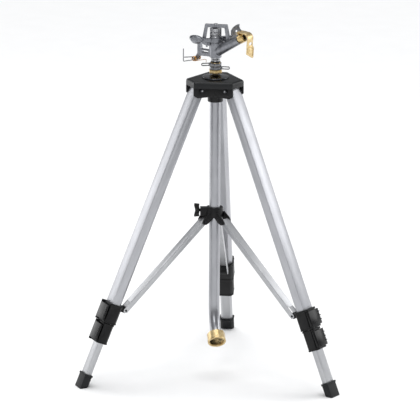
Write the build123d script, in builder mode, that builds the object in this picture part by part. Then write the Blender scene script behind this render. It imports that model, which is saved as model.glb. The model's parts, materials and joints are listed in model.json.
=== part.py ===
from build123d import *
from math import atan2, cos, degrees, hypot, radians, sin, sqrt
import os

# Impact sprinkler on a folding tripod with telescopic legs.
# Millimetres. Z is up, the floor is Z = 0, and the hub's axis is the Z axis.
# The nozzle points along +X. The front leg stands under it; the others stand 120 degrees on.

os.makedirs("parts", exist_ok=True)

# ---------------------------------------------------------------- driving sizes
running = 0.06          # radial clearance of a turning fit
slip = 0.35             # gap all round between telescoping tubes
gap = 0.3               # gap between pieces that move past each other

leg_azimuth = {"front": 0, "left": 120, "right": 240}

foot_radius = 250       # from the hub's axis to the middle of a foot
pivot_radius = 33.2     # from the hub's axis to a leg's pivot
pivot_height = 509

pipe_radius = 9.525
pipe_wall = 1.25

tube_width = 27.3       # upper leg tube, across
tube_depth = 18.6       # upper leg tube, in and out
tube_corner = 5.0       # chamfer on its two inner corners
tube_wall = 1.5

leg_tilt = degrees(atan2(foot_radius - pivot_radius, pivot_height))
leg_length = hypot(foot_radius - pivot_radius, pivot_height)


# ---------------------------------------------------------------- places and planes
def radial_plane(azimuth):
    """Upright plane through the hub's axis: x runs outwards, y runs up."""
    a = radians(azimuth)
    return Plane(origin=(0, 0, 0), x_dir=(cos(a), sin(a), 0), z_dir=(sin(a), -cos(a), 0))


def leg_up(azimuth):
    """Unit vector along a leg, from its foot to its pivot."""
    a = radians(azimuth)
    t = radians(leg_tilt)
    return Vector(-sin(t) * cos(a), -sin(t) * sin(a), cos(t))


def pivot_point(azimuth):
    a = radians(azimuth)
    return Vector(pivot_radius * cos(a), pivot_radius * sin(a), pivot_height)


def leg_plane(azimuth, station):
    """Plane across a leg, station mm below its pivot: x is sideways, y is inwards."""
    a = radians(azimuth)
    origin = pivot_point(azimuth) - leg_up(azimuth) * station
    return Plane(origin=origin, x_dir=(-sin(a), cos(a), 0), z_dir=leg_up(azimuth))


def leg_side_plane(azimuth):
    """Plane along a leg through its pivot: x runs outwards, y runs up the leg."""
    a = radians(azimuth)
    t = radians(leg_tilt)
    outwards = (cos(t) * cos(a), cos(t) * sin(a), sin(t))
    return Plane(origin=pivot_point(azimuth), x_dir=outwards, z_dir=(sin(a), -cos(a), 0))


def inset(section, amount):
    """A leg section (width, depth, corner) made smaller by amount on every side."""
    width, depth, corner = section
    return (width - 2 * amount, depth - 2 * amount, corner - amount * (2 - sqrt(2)))


def leg_outline(section):
    """Corners of a leg section: square outside, chamfered on the inner side."""
    width, depth, corner = section
    x = width / 2
    y = depth / 2
    return [(-x, -y), (x, -y), (x, y - corner), (x - corner, y), (corner - x, y), (-x, y - corner)]


def leg_face(section):
    """Add the filled section to the sketch in hand."""
    Polygon(*leg_outline(section), align=None)


def save(part, name):
    part.label = name
    export_step(part, f"parts/{name}.step")


def save_raised(part, name):
    """Saves a piece drawn over a hub whose pivots stand at drawn_pivot, lifted to the real height."""
    save(part.moved(Location((0, 0, pivot_height - drawn_pivot))), name)


# ---------------------------------------------------------------- tripod hub
# The hub and all that stands on it are drawn with the pivots at this height, then lifted as one.
drawn_pivot = 509
cheek_thick = 3.0
slot_half = tube_width / 2 + 0.4
hub_lug_radius = 48     # flat outer side over each leg
hub_lug_half = slot_half + cheek_thick   # half the width of that side
hub_bottom = 496
cheek_top = 519
cap_bottom = 514
cap_top = 525.5
cap_wall = 2.5
boss_radius = 13.25
boss_bottom = 484
slot_inner = 20.5       # from the axis to the wall behind each leg
bolt_radius = 3.0
bolt_head_radius = 3.9
bolt_head = 2.2


def hub_outline():
    """Corners of the hub seen from above: a triangle with its three points cut square."""
    reach = hypot(hub_lug_radius, hub_lug_half)
    half_angle = degrees(atan2(hub_lug_half, hub_lug_radius))
    corners = []
    for azimuth in leg_azimuth.values():
        for angle in (azimuth - half_angle, azimuth + half_angle):
            corners.append((reach * cos(radians(angle)), reach * sin(radians(angle))))
    return corners


with BuildPart() as hub_body:
    with BuildSketch(Plane.XY.offset(boss_bottom)):
        Circle(boss_radius)
    extrude(amount=cap_top - cap_wall - boss_bottom)
    for azimuth in leg_azimuth.values():
        cheek_plane = radial_plane(azimuth)
        with BuildSketch(cheek_plane):
            with BuildLine():
                Polyline((0, hub_bottom), (hub_lug_radius - 7, hub_bottom), (hub_lug_radius, hub_bottom + 5),
                         (hub_lug_radius, cap_bottom), (hub_lug_radius - 7, cap_bottom),
                         (hub_lug_radius - 7, cheek_top), (0, cheek_top), close=True)
            make_face()
        extrude(amount=hub_lug_half, both=True)
    for azimuth in leg_azimuth.values():
        with BuildSketch(radial_plane(azimuth)):
            with Locations((slot_inner + hub_lug_radius / 2, (hub_bottom + cap_top) / 2)):
                Rectangle(hub_lug_radius, cap_top - hub_bottom + 4)
        extrude(amount=slot_half, both=True, mode=Mode.SUBTRACT)
        with BuildSketch(radial_plane(azimuth)):
            with Locations((pivot_radius, drawn_pivot)):
                Circle(bolt_radius)
        extrude(amount=hub_lug_half + 2, both=True, mode=Mode.SUBTRACT)
    with BuildSketch(Plane.XY.offset(boss_bottom)):
        Circle(pipe_radius)
    extrude(amount=cap_top - boss_bottom, mode=Mode.SUBTRACT)
save_raised(hub_body.part, "hub_body")

with BuildPart() as hub_cap:
    with BuildSketch(Plane.XY.offset(cap_bottom)):
        with BuildLine():
            Polyline(*hub_outline(), close=True)
        make_face()
    extrude(amount=cap_top - cap_bottom)
    fillet(hub_cap.edges().filter_by(Axis.Z), radius=2.5)
    fillet(hub_cap.faces().sort_by(Axis.Z)[-1].edges(), radius=4.5)
    with BuildSketch(Plane.XY.offset(cap_bottom)):
        with BuildLine():
            Polyline(*hub_outline(), close=True)
        make_face()
        offset(amount=-cap_wall, kind=Kind.INTERSECTION, mode=Mode.REPLACE)
    extrude(amount=cap_top - cap_wall - cap_bottom, mode=Mode.SUBTRACT)
    with BuildSketch(Plane.XY.offset(cap_bottom)):
        Circle(pipe_radius)
    extrude(amount=cap_top - cap_bottom, mode=Mode.SUBTRACT)
save_raised(hub_cap.part, "hub_cap")

disc_radius = 23
disc_rim = 2.2
stem_radius = 5.6       # riser where it passes through the disc
disc_boss = 7.4         # neck in the middle, under the riser's hexagon
disc_top = cap_top + 8.3

with BuildPart() as hub_disc:
    with BuildSketch(Plane.XZ):
        with BuildLine():
            Polyline((disc_boss, disc_top), (stem_radius, disc_top), (stem_radius, cap_top),
                     (disc_radius - 0.6, cap_top), (disc_radius, cap_top + 0.6),
                     (disc_radius, cap_top + disc_rim))
            Spline((disc_radius, cap_top + disc_rim), (disc_boss, disc_top),
                   tangents=[(-1, 0.55), (-0.15, 1)])
        make_face()
    revolve(axis=Axis.Z)
save_raised(hub_disc.part, "hub_disc")

with BuildPart() as pivot_bolts:
    for azimuth in leg_azimuth.values():
        side = radial_plane(azimuth)
        for reach, thick, radius in ((hub_lug_half, 2 * hub_lug_half, bolt_radius),
                                     (hub_lug_half + bolt_head, bolt_head, bolt_head_radius),
                                     (-hub_lug_half, bolt_head, bolt_head_radius)):
            with BuildSketch(side.offset(reach)):
                with Locations((pivot_radius, pivot_height)):
                    Circle(radius)
            extrude(amount=-thick)
save(pivot_bolts.part, "pivot_bolts")

# ---------------------------------------------------------------- water pipe
pipe_top = cap_top + pivot_height - drawn_pivot
bend_start = 122        # height where the bend begins
bend_radius = 64
bend_angle = 50
bend_azimuth = -46
pipe_tail = 5           # straight end after the bend
pipe_bore = pipe_radius - pipe_wall


def bend_plane():
    return radial_plane(bend_azimuth)


bend_end = (bend_radius * (1 - cos(radians(bend_angle))),
            bend_start - bend_radius * sin(radians(bend_angle)))
end_dir = (sin(radians(bend_angle)), -cos(radians(bend_angle)))
pipe_end = (bend_end[0] + end_dir[0] * pipe_tail, bend_end[1] + end_dir[1] * pipe_tail)

with BuildPart() as water_pipe:
    with BuildLine(bend_plane()) as route:
        Line((0, pipe_top), (0, bend_start))
        JernArc((0, bend_start), (0, -1), bend_radius, bend_angle)
        Line(bend_end, pipe_end)
    with BuildSketch(Plane.XY.offset(pipe_top)):
        Circle(pipe_radius)
    sweep(path=route.wires()[0])
    with BuildSketch(Plane.XY.offset(pipe_top)):
        Circle(pipe_bore)
    sweep(path=route.wires()[0], mode=Mode.SUBTRACT)
save(water_pipe.part, "water_pipe")


def inlet_plane(distance):
    """Plane across the pipe's end, distance mm beyond it, facing out of the hose opening."""
    base = bend_plane()
    x = pipe_end[0] + end_dir[0] * distance
    y = pipe_end[1] + end_dir[1] * distance
    origin = base.from_local_coords((x, y, 0))
    normal = base.x_dir * end_dir[0] + base.y_dir * end_dir[1]
    return Plane(origin=origin, x_dir=base.z_dir, z_dir=normal)


# ---------------------------------------------------------------- hose swivel
nut_radius = 15.6
nut_length = 17
nut_lip = 3.5
nut_rim = 3
hose_thread_radius = 12.8   # 3/4 inch garden hose thread, at its crests
tail_wall = 1.3
tail_length = pipe_tail
flange_thick = 2.2
flange_radius = hose_thread_radius - gap
washer_thick = 3.0
washer_radius = 13.4    # pocket that holds the washer, just wider than the thread
washer_bore = 8.0
screen_thick = 0.8
thread_start = flange_thick + screen_thick + washer_thick + 0.6

with BuildPart() as hose_tail:
    with BuildSketch(inlet_plane(-tail_length)):
        Circle(pipe_radius + tail_wall)
        Circle(pipe_radius, mode=Mode.SUBTRACT)
    extrude(amount=tail_length)
    with BuildSketch(inlet_plane(0)):
        Circle(flange_radius)
        Circle(pipe_bore, mode=Mode.SUBTRACT)
    extrude(amount=flange_thick)
save(hose_tail.part, "hose_tail")

with BuildPart() as swivel_nut:
    with BuildSketch(inlet_plane(-nut_lip - gap)):
        RegularPolygon(nut_radius * 1.02, 8)
        Circle(nut_radius, mode=Mode.INTERSECT)
        Circle(pipe_radius + tail_wall + running, mode=Mode.SUBTRACT)
    extrude(amount=nut_lip)
    with BuildSketch(inlet_plane(-gap)):
        RegularPolygon(nut_radius * 1.02, 8)
        Circle(nut_radius, mode=Mode.INTERSECT)
    extrude(amount=nut_length - nut_lip - nut_rim)
    with BuildSketch(inlet_plane(nut_length - nut_lip - nut_rim - gap)):
        Circle(nut_radius + 0.3)
    extrude(amount=nut_rim)
    with BuildSketch(inlet_plane(-gap)):
        Circle(washer_radius)
    extrude(amount=thread_start + gap, mode=Mode.SUBTRACT)
    with BuildSketch(inlet_plane(thread_start)):
        Circle(hose_thread_radius)
    extrude(amount=nut_length, mode=Mode.SUBTRACT)
save(swivel_nut.part, "swivel_nut")

with BuildPart() as inlet_washer:
    with BuildSketch(inlet_plane(flange_thick + screen_thick + 0.1)):
        Circle(washer_radius)
        Circle(washer_bore, mode=Mode.SUBTRACT)
    extrude(amount=washer_thick)
save(inlet_washer.part, "inlet_washer")

with BuildPart() as inlet_screen:
    with BuildSketch(inlet_plane(flange_thick + 0.1)):
        Circle(hose_thread_radius - 0.4)
        with GridLocations(2.2, 2.2, 5, 5):
            Circle(0.7, mode=Mode.SUBTRACT)
    extrude(amount=screen_thick)
save(inlet_screen.part, "inlet_screen")

# ---------------------------------------------------------------- legs
upper_section = (tube_width, tube_depth, tube_corner)
middle_section = inset(upper_section, tube_wall + slip)
middle_wall = 1.3
lower_section = inset(middle_section, middle_wall + slip)
lower_wall = 1.3

# Stations are measured down the leg from its pivot; the lower ones keep their distance to the floor.
upper_top = -7
upper_end = leg_length - 128.25
knuckle_end = 20
middle_top = 45
middle_end = leg_length - 90.25
lower_top = 100
lower_end = leg_length - 11.25

clamp_top = leg_length - 155.25
clamp_end = leg_length - 120.65
clamp_half = upper_section[0] / 2 + 1.85    # half width across the leg
clamp_in = upper_section[1] / 2 + 2.7       # from the leg's axis to the clamp's inner and outer face
low_clamp_top = clamp_end + 0.6
low_clamp_end = leg_length - 83.25
low_clamp_half = middle_section[0] / 2 + 2.2
low_clamp_in = middle_section[1] / 2 + 2.75
ear_thick = 3.5
hinge_pin = 1.5
hinge_barrel = 3.0
lever_thick = 3.6

foot_top = leg_length - 24.25
foot_wall = 2.0

brace_width = 16.4
brace_height = 9.0
brace_wall = 1.2
lug_half = brace_width / 2 - brace_wall - gap
rivet_radius = 2.0
bracket_station = clamp_top + 4.8
bracket_in = clamp_in + 10.6    # from the leg's axis in to the brace pivot
bracket_round = 5.0

collar_pivot_radius = 21.5
collar_pivot_height = 273
lean_out = sin(radians(leg_tilt))
lean_up = cos(radians(leg_tilt))
bracket_pivot = (pivot_radius + bracket_station * lean_out - bracket_in * lean_up,
                 pivot_height - bracket_station * lean_up - bracket_in * lean_out)
brace_length = hypot(bracket_pivot[0] - collar_pivot_radius, bracket_pivot[1] - collar_pivot_height)


def leg_tube(azimuth, section, wall, top, end):
    """One straight length of leg tube between two stations."""
    with BuildPart() as tube:
        with BuildSketch(leg_plane(azimuth, end)):
            leg_face(section)
            offset(amount=-wall, kind=Kind.INTERSECTION, mode=Mode.SUBTRACT)
        extrude(amount=end - top)
    return tube.part


def hinge_place(half, inside):
    """Where a flip lever's pin stands in a section across the leg."""
    return (3 - half, -inside - hinge_barrel - gap)


def leg_clamp(azimuth, outer, top, end, passage, seat, seat_end):
    """Clamp round the end of one tube, with ears for its flip lever."""
    half, inside = outer
    pin = hinge_place(half, inside)
    with BuildPart() as clamp:
        with BuildSketch(leg_plane(azimuth, end)):
            leg_face((2 * half, 2 * inside, 4.5))
        extrude(amount=end - top)
        for low in (end, top + ear_thick):
            with BuildSketch(leg_plane(azimuth, low)):
                with Locations((pin[0], (pin[1] - inside) / 2)):
                    Rectangle(2 * hinge_barrel, -pin[1] - inside)
                with Locations(pin):
                    Circle(hinge_barrel)
                with Locations((0, -inside - 0.9)):
                    Rectangle(2 * half, 1.8)
            extrude(amount=ear_thick)
        with BuildSketch(leg_plane(azimuth, end)):
            with Locations(pin):
                Circle(hinge_pin + running)
        extrude(amount=end - top, mode=Mode.SUBTRACT)
        with BuildSketch(leg_plane(azimuth, end)):
            leg_face(passage)
        extrude(amount=end - top, mode=Mode.SUBTRACT)
        with BuildSketch(leg_plane(azimuth, seat_end)):
            leg_face(seat)
        extrude(amount=seat_end - top, mode=Mode.SUBTRACT)
    return clamp.part


def flip_lever(azimuth, outer, top, end):
    """Curved lever that lies over a clamp's outer face, with its trunnions."""
    half, inside = outer
    pin = hinge_place(half, inside)
    low = end - ear_thick - gap
    high = top + ear_thick + gap
    face = -inside - 1.8 - gap
    with BuildPart() as lever:
        with BuildSketch(leg_plane(azimuth, low)):
            with Locations(pin):
                Circle(hinge_barrel)
            with BuildLine():
                outside = ThreePointArc((pin[0], pin[1] - hinge_barrel),
                                        (half * 0.2, face - lever_thick - 1.6),
                                        (half + 1.5, face - lever_thick + 0.4))
                Line(outside @ 1, (half + 1.5, face - 1.4))
                inner = ThreePointArc((half + 1.5, face - 1.4), (half * 0.2, face - 1.2),
                                      (pin[0], face - 1.2))
                Line(inner @ 1, outside @ 0)
            make_face()
        extrude(amount=low - high)
        for rib in range(3):
            station = high + (low - high) * (rib + 1) / 4
            with BuildSketch(leg_plane(azimuth, station)):
                with Locations((half - 1, face - lever_thick - 0.6)):
                    Rectangle(5, 2.4)
            extrude(amount=1.4)
        with BuildSketch(leg_plane(azimuth, end)):
            with Locations(pin):
                Circle(hinge_pin)
        extrude(amount=end - top)
    return lever.part


for side, azimuth in leg_azimuth.items():
    with BuildPart() as upper_tube:
        add(leg_tube(azimuth, upper_section, tube_wall, upper_top, upper_end))
        with BuildSketch(radial_plane(azimuth)):
            with Locations((pivot_radius, pivot_height)):
                Circle(bolt_radius + running)
        extrude(amount=tube_width, both=True, mode=Mode.SUBTRACT)
    save(upper_tube.part, f"{side}_upper_tube")

    with BuildPart() as knuckle:
        with BuildSketch(leg_plane(azimuth, knuckle_end)):
            leg_face(inset(upper_section, tube_wall))
        extrude(amount=knuckle_end - upper_top)
        with BuildSketch(radial_plane(azimuth)):
            with Locations((pivot_radius, pivot_height)):
                Circle(bolt_radius + running)
        extrude(amount=tube_width, both=True, mode=Mode.SUBTRACT)
    save(knuckle.part, f"{side}_leg_knuckle")

    save(leg_tube(azimuth, middle_section, middle_wall, middle_top, middle_end), f"{side}_middle_tube")
    save(leg_tube(azimuth, lower_section, lower_wall, lower_top, lower_end), f"{side}_lower_tube")

    with BuildPart() as upper_clamp:
        add(leg_clamp(azimuth, (clamp_half, clamp_in), clamp_top, clamp_end,
                      inset(middle_section, -slip), upper_section, upper_end))
        with BuildSketch(leg_side_plane(azimuth)):
            with Locations((-bracket_in, -bracket_station)):
                Circle(bracket_round)
            with Locations((-(bracket_in + clamp_in) / 2, -bracket_station)):
                Rectangle(bracket_in - clamp_in + 0.4, 2 * bracket_round)
        extrude(amount=lug_half, both=True)
    save(upper_clamp.part, f"{side}_upper_clamp")

    save(leg_clamp(azimuth, (low_clamp_half, low_clamp_in), low_clamp_top, low_clamp_end,
                   inset(lower_section, -slip), middle_section, middle_end), f"{side}_lower_clamp")
    save(flip_lever(azimuth, (clamp_half, clamp_in), clamp_top, clamp_end), f"{side}_upper_lever")
    save(flip_lever(azimuth, (low_clamp_half, low_clamp_in), low_clamp_top, low_clamp_end),
         f"{side}_lower_lever")

    with BuildPart() as foot:
        with BuildSketch(leg_plane(azimuth, leg_length + 12)):
            leg_face(inset(lower_section, -foot_wall))
        extrude(amount=leg_length + 12 - foot_top)
        with BuildSketch(leg_plane(azimuth, lower_end)):
            leg_face(lower_section)
        extrude(amount=lower_end - foot_top, mode=Mode.SUBTRACT)
        split(bisect_by=Plane.XY, keep=Keep.TOP)
    save(foot.part, f"{side}_foot")

# ---------------------------------------------------------------- spreader
collar_radius = 14.5
collar_bottom = 279
collar_top = 296
cheek_round = 5.5
cheek_wall = 2.3
cheek_inner = brace_width / 2 + gap
knob_azimuth = 215.6
knob_height = 289.7
boss_reach = 25.2
stud_radius = 2.5
knob_reach = boss_reach + 1.2
knob_thick = 9.6
knob_half = 11.6


def brace_plane(azimuth):
    """Plane along a brace: x runs from the collar's pivot to the leg's, y is above it."""
    base = radial_plane(azimuth)
    origin = base.from_local_coords((collar_pivot_radius, collar_pivot_height, 0))
    along = (base.x_dir * (bracket_pivot[0] - collar_pivot_radius)
             + base.y_dir * (bracket_pivot[1] - collar_pivot_height))
    return Plane(origin=origin, x_dir=along, z_dir=base.z_dir)


def knob_plane(reach):
    """Plane across the wing knob's stud, facing away from the pipe."""
    base = radial_plane(knob_azimuth)
    return Plane(origin=base.from_local_coords((reach, knob_height, 0)), z_dir=base.x_dir)


with BuildPart() as spreader_collar:
    with BuildSketch(Plane.XY.offset(collar_bottom)):
        Circle(collar_radius)
    extrude(amount=collar_top - collar_bottom)
    for azimuth in leg_azimuth.values():
        for inner in (cheek_inner, -cheek_inner - cheek_wall):
            with BuildSketch(radial_plane(azimuth).offset(inner)):
                with Locations((collar_pivot_radius, collar_pivot_height)):
                    Circle(cheek_round)
                Polygon((6, collar_bottom + 7), (6, collar_bottom),
                        (collar_pivot_radius - 5, collar_pivot_height - 4),
                        (collar_pivot_radius, collar_pivot_height),
                        (collar_pivot_radius + 4, collar_pivot_height + 5),
                        (collar_radius - 1, collar_bottom + 9), align=None)
            extrude(amount=cheek_wall)
    with BuildSketch(radial_plane(knob_azimuth)):
        with Locations((boss_reach / 2, (collar_bottom + collar_top) / 2)):
            Rectangle(boss_reach, collar_top - collar_bottom - 2)
    extrude(amount=6.5, both=True)
    with BuildSketch(Plane.XY.offset(collar_bottom - 3 * cheek_round)):
        Circle(pipe_radius + 0.1)
    extrude(amount=collar_top - collar_bottom + 4 * cheek_round, mode=Mode.SUBTRACT)
    with BuildSketch(knob_plane(0)):
        Circle(stud_radius + running)
    extrude(amount=boss_reach + 1, mode=Mode.SUBTRACT)
    for azimuth in leg_azimuth.values():
        with BuildSketch(radial_plane(azimuth)):
            with Locations((collar_pivot_radius, collar_pivot_height)):
                Circle(rivet_radius + running)
        extrude(amount=cheek_inner + 2 * cheek_wall, both=True, mode=Mode.SUBTRACT)
save(spreader_collar.part, "spreader_collar")

with BuildPart() as collar_pins:
    for azimuth in leg_azimuth.values():
        with BuildSketch(radial_plane(azimuth)):
            with Locations((collar_pivot_radius, collar_pivot_height)):
                Circle(rivet_radius)
        extrude(amount=cheek_inner + cheek_wall + 0.5, both=True)
save(collar_pins.part, "collar_pins")

with BuildPart() as wing_knob:
    with BuildSketch(knob_plane(pipe_radius + gap)):
        Circle(stud_radius)
    extrude(amount=knob_reach - pipe_radius + 2)
    with BuildSketch(radial_plane(knob_azimuth)):
        with Locations((knob_reach + knob_thick / 2, knob_height)):
            Polygon((-knob_thick / 2, -knob_half + 1), (knob_thick / 2 - 1, -knob_half),
                    (knob_thick / 2, 2 - knob_half), (knob_thick / 2 - 2.4, 0),
                    (knob_thick / 2, knob_half - 2),
                    (knob_thick / 2 - 1, knob_half), (-knob_thick / 2, knob_half - 1),
                    (-knob_thick / 2 + 1.4, 0), align=None)
    extrude(amount=3.5, both=True)
    with BuildSketch(knob_plane(knob_reach)):
        Circle(5.2)
    extrude(amount=knob_thick - 2.4)
save(wing_knob.part, "wing_knob")

ear_length = 16.5       # open end of a brace, where the leg's bracket goes in
for side, azimuth in leg_azimuth.items():
    with BuildPart() as brace:
        with BuildSketch(brace_plane(azimuth)):
            with Locations((brace_length / 2, 0)):
                SlotCenterToCenter(brace_length, brace_height)
        extrude(amount=brace_width / 2, both=True)
        with BuildSketch(brace_plane(azimuth)):
            with Locations((brace_length / 2, -brace_wall)):
                Rectangle(brace_length + 3 * brace_height, brace_height)
            with Locations((brace_length, 0)):
                Rectangle(2 * ear_length, 3 * brace_height)
        extrude(amount=brace_width / 2 - brace_wall, both=True, mode=Mode.SUBTRACT)
        with BuildSketch(brace_plane(azimuth)):
            Circle(rivet_radius + running)
            with Locations((brace_length, 0)):
                Circle(rivet_radius)
        extrude(amount=brace_width / 2 + 1, both=True, mode=Mode.SUBTRACT)
    save(brace.part, f"{side}_brace")

# ---------------------------------------------------------------- riser and friction collars
riser_bore = 3.6
riser_tube = 5.3        # outer radius of the bearing tube
riser_top = 572.5
riser_flange = 6.1
hex_apothem = 10.4
hex_top = 540
shoulder_radius = 8.5
shoulder_top = 552.6
washer_top = 554.6

with BuildPart() as riser_nipple:
    with BuildSketch(Plane.XY.offset(cap_bottom)):
        Circle(pipe_bore)
    extrude(amount=cap_top - cap_bottom)
    with BuildSketch(Plane.XY.offset(cap_top)):
        Circle(stem_radius)
    extrude(amount=disc_top - cap_top)
    with BuildSketch(Plane.XY.offset(disc_top)):
        RegularPolygon(hex_apothem, 6, major_radius=False, rotation=12)
    extrude(amount=hex_top - disc_top)
    with BuildSketch(Plane.XY.offset(hex_top)):
        Circle(shoulder_radius)
    extrude(amount=shoulder_top - hex_top)
    with BuildSketch(Plane.XY.offset(shoulder_top)):
        Circle(riser_tube)
    extrude(amount=riser_top - shoulder_top)
    with BuildSketch(Plane.XY.offset(riser_top - 2.2)):
        Circle(riser_flange)
    extrude(amount=2.2)
    with BuildSketch(Plane.XY.offset(cap_bottom)):
        Circle(riser_bore)
    extrude(amount=riser_top - cap_bottom, mode=Mode.SUBTRACT)
save_raised(riser_nipple.part, "riser_nipple")

band_thick = 1.7
band_height = 5.6
tab_reach = 25
tab_wire = 1.7
friction_collars = {"lower": (hex_top + 0.4, 25.6), "upper": (shoulder_top - 0.6 - band_height, 225.6)}

for name, (bottom, azimuth) in friction_collars.items():
    middle = bottom + band_height / 2
    with BuildPart() as friction_collar:
        with BuildSketch(Plane.XY.offset(bottom)):
            Circle(shoulder_radius + band_thick)
        extrude(amount=band_height)
        with BuildSketch(radial_plane(azimuth)):
            with Locations((shoulder_radius, middle)):
                RectangleRounded(2 * (tab_reach - shoulder_radius), band_height, band_height / 2 - 0.1)
            with Locations(((shoulder_radius + band_thick + tab_reach) / 2, middle)):
                RectangleRounded(tab_reach - shoulder_radius - band_thick - 2 * tab_wire,
                                 band_height - 2 * tab_wire, (band_height - 2 * tab_wire) / 2 - 0.1,
                                 mode=Mode.SUBTRACT)
        extrude(amount=tab_wire / 2, both=True)
        with BuildSketch(Plane.XY.offset(bottom)):
            Circle(shoulder_radius + running)
        extrude(amount=band_height, mode=Mode.SUBTRACT)
        split(bisect_by=Plane(origin=radial_plane(azimuth).x_dir * -(shoulder_radius + band_thick),
                              z_dir=radial_plane(azimuth).x_dir), keep=Keep.TOP)
    save_raised(friction_collar.part, f"{name}_friction_collar")

with BuildPart() as thrust_washer:
    with BuildSketch(Plane.XY.offset(shoulder_top + 0.05)):
        Circle(8.4)
        Circle(riser_tube + running, mode=Mode.SUBTRACT)
    extrude(amount=washer_top - shoulder_top - 0.1)
save_raised(thrust_washer.part, "thrust_washer")

# ---------------------------------------------------------------- sprinkler body
body_bottom = 561.5
body_top = 588
body_radius = 10.2
sleeve_radius = 6.3
sleeve_top = 569.8
chamber_top = 574.5
nozzle_rise = 30        # degrees, trajectory of the jet
throat_height = 570.2   # where the range tube's axis meets the hub's axis
barrel_length = 57
barrel_root = 9.3
barrel_tip = 7.8
water_radius = 4.5
bridge_azimuth = 25.6
bridge_half = 4.0
bridge_top = 619
bar_height = 5.2
pin_radius = 2.5
frame_half = 4.0
frame_out = 36.2
frame_in = 30.3
frame_bottom = 560.5
trip_pin_place = (-41, 554.5)
trip_pin_radius = 1.5
ear_middle = 2.1        # ears that hold the trip pin, either side of the trip lever
ear_wall = 1.6

barrel_dir = (cos(radians(nozzle_rise)), 0, sin(radians(nozzle_rise)))


def barrel_plane(distance):
    """Plane across the range tube, distance mm along its axis from the hub's axis."""
    origin = (barrel_dir[0] * distance, 0, throat_height + barrel_dir[2] * distance)
    return Plane(origin=origin, x_dir=(0, 1, 0), z_dir=barrel_dir)


with BuildPart() as sprinkler_body:
    with BuildSketch(Plane.XY.offset(body_bottom)):
        Circle(body_radius)
    extrude(amount=body_top - body_bottom)
    with BuildSketch(barrel_plane(-2)):
        Circle(barrel_root)
    with BuildSketch(barrel_plane(barrel_length)):
        Circle(barrel_tip)
    loft()
    with BuildSketch(radial_plane(bridge_azimuth)):
        Polygon((-18.2, bridge_top), (20.2, bridge_top), (24.2, 598), (24.2, 578), (4, 568), (-4, 580),
                (-20, 583), (-23.8, 586), (-23.8, 590), (-22.3, 598), align=None)
        Polygon((-13.8, bridge_top - bar_height), (15.6, bridge_top - bar_height), (19.4, body_top),
                (-17.8, body_top), align=None, mode=Mode.SUBTRACT)
    extrude(amount=bridge_half, both=True)
    with BuildSketch(Plane.XZ):
        Polygon((-frame_out, body_top), (-frame_out, frame_bottom + 3), (-frame_out + 3, frame_bottom),
                (-12, body_bottom), (0, body_bottom), (0, body_top), align=None)
        Polygon((-frame_in, 585.2), (-frame_in, 572.8), (-body_radius - 1, 572.8), (-body_radius - 1, 585.2),
                align=None, mode=Mode.SUBTRACT)
        with Locations((-20.5, 569)):
            RectangleRounded(16, 3.4, 1.2, mode=Mode.SUBTRACT)
    extrude(amount=frame_half, both=True)
    for ear in (-ear_middle, ear_middle):
        with BuildSketch(Plane.XZ.offset(ear)):
            with Locations(trip_pin_place):
                Circle(3.2)
            Polygon((-43, 555), (-frame_out, 566), (-frame_in, 562), (-38.6, 551.6), align=None)
        extrude(amount=ear_wall / 2, both=True)
    with BuildSketch(Plane.XZ):
        with Locations(trip_pin_place):
            Circle(trip_pin_radius)
    extrude(amount=12, both=True, mode=Mode.SUBTRACT)
    with BuildSketch(Plane.XY.offset(chamber_top)):
        Circle(sleeve_radius)
    extrude(amount=washer_top - chamber_top, mode=Mode.SUBTRACT)
    with BuildSketch(barrel_plane(0)):
        Circle(water_radius)
    extrude(amount=barrel_length + 1, mode=Mode.SUBTRACT)
    with BuildSketch(Plane.XY.offset(body_top - 6)):
        Circle(pin_radius)
    extrude(amount=bridge_top - body_top + 8, mode=Mode.SUBTRACT)
save_raised(sprinkler_body.part, "sprinkler_body")

with BuildPart() as bearing_sleeve:
    with BuildSketch(Plane.XY.offset(washer_top + gap)):
        Circle(sleeve_radius)
        Circle(riser_tube + running, mode=Mode.SUBTRACT)
    extrude(amount=sleeve_top - washer_top - gap)
save_raised(bearing_sleeve.part, "bearing_sleeve")

spring_pitch = 2.1
with BuildPart() as bearing_spring:
    with BuildSketch(Plane.XY.offset(washer_top)):
        Circle(7.9)
        Circle(sleeve_radius + 0.15, mode=Mode.SUBTRACT)
    extrude(amount=body_bottom - washer_top)
    rings = int((body_bottom - washer_top) / spring_pitch)
    for ring in range(rings):
        with BuildSketch(Plane.XY.offset(washer_top + (ring + 1) * spring_pitch)):
            Circle(9)
            Circle(7.4, mode=Mode.SUBTRACT)
        extrude(amount=0.35, both=True, mode=Mode.SUBTRACT)
save_raised(bearing_spring.part, "bearing_spring")

# ---------------------------------------------------------------- nozzle and deflector
gasket_thick = 1.8
nozzle_length = 10.5
nozzle_radius = 8.2
nozzle_start = barrel_length + gasket_thick
orifice_radius = 4.8

with BuildPart() as nozzle_gasket:
    with BuildSketch(barrel_plane(barrel_length)):
        Circle(barrel_tip - 0.6)
        Circle(water_radius, mode=Mode.SUBTRACT)
    extrude(amount=gasket_thick)
save_raised(nozzle_gasket.part, "nozzle_gasket")

hinge_place_x = barrel_dir[0] * (nozzle_start + 5) - barrel_dir[2] * (nozzle_radius + 2.2)
hinge_place_z = throat_height + barrel_dir[2] * (nozzle_start + 5) + barrel_dir[0] * (nozzle_radius + 2.2)
flap_pin_radius = 1.1
knuckle_radius = 2.4
lug_width = 3.0

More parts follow.
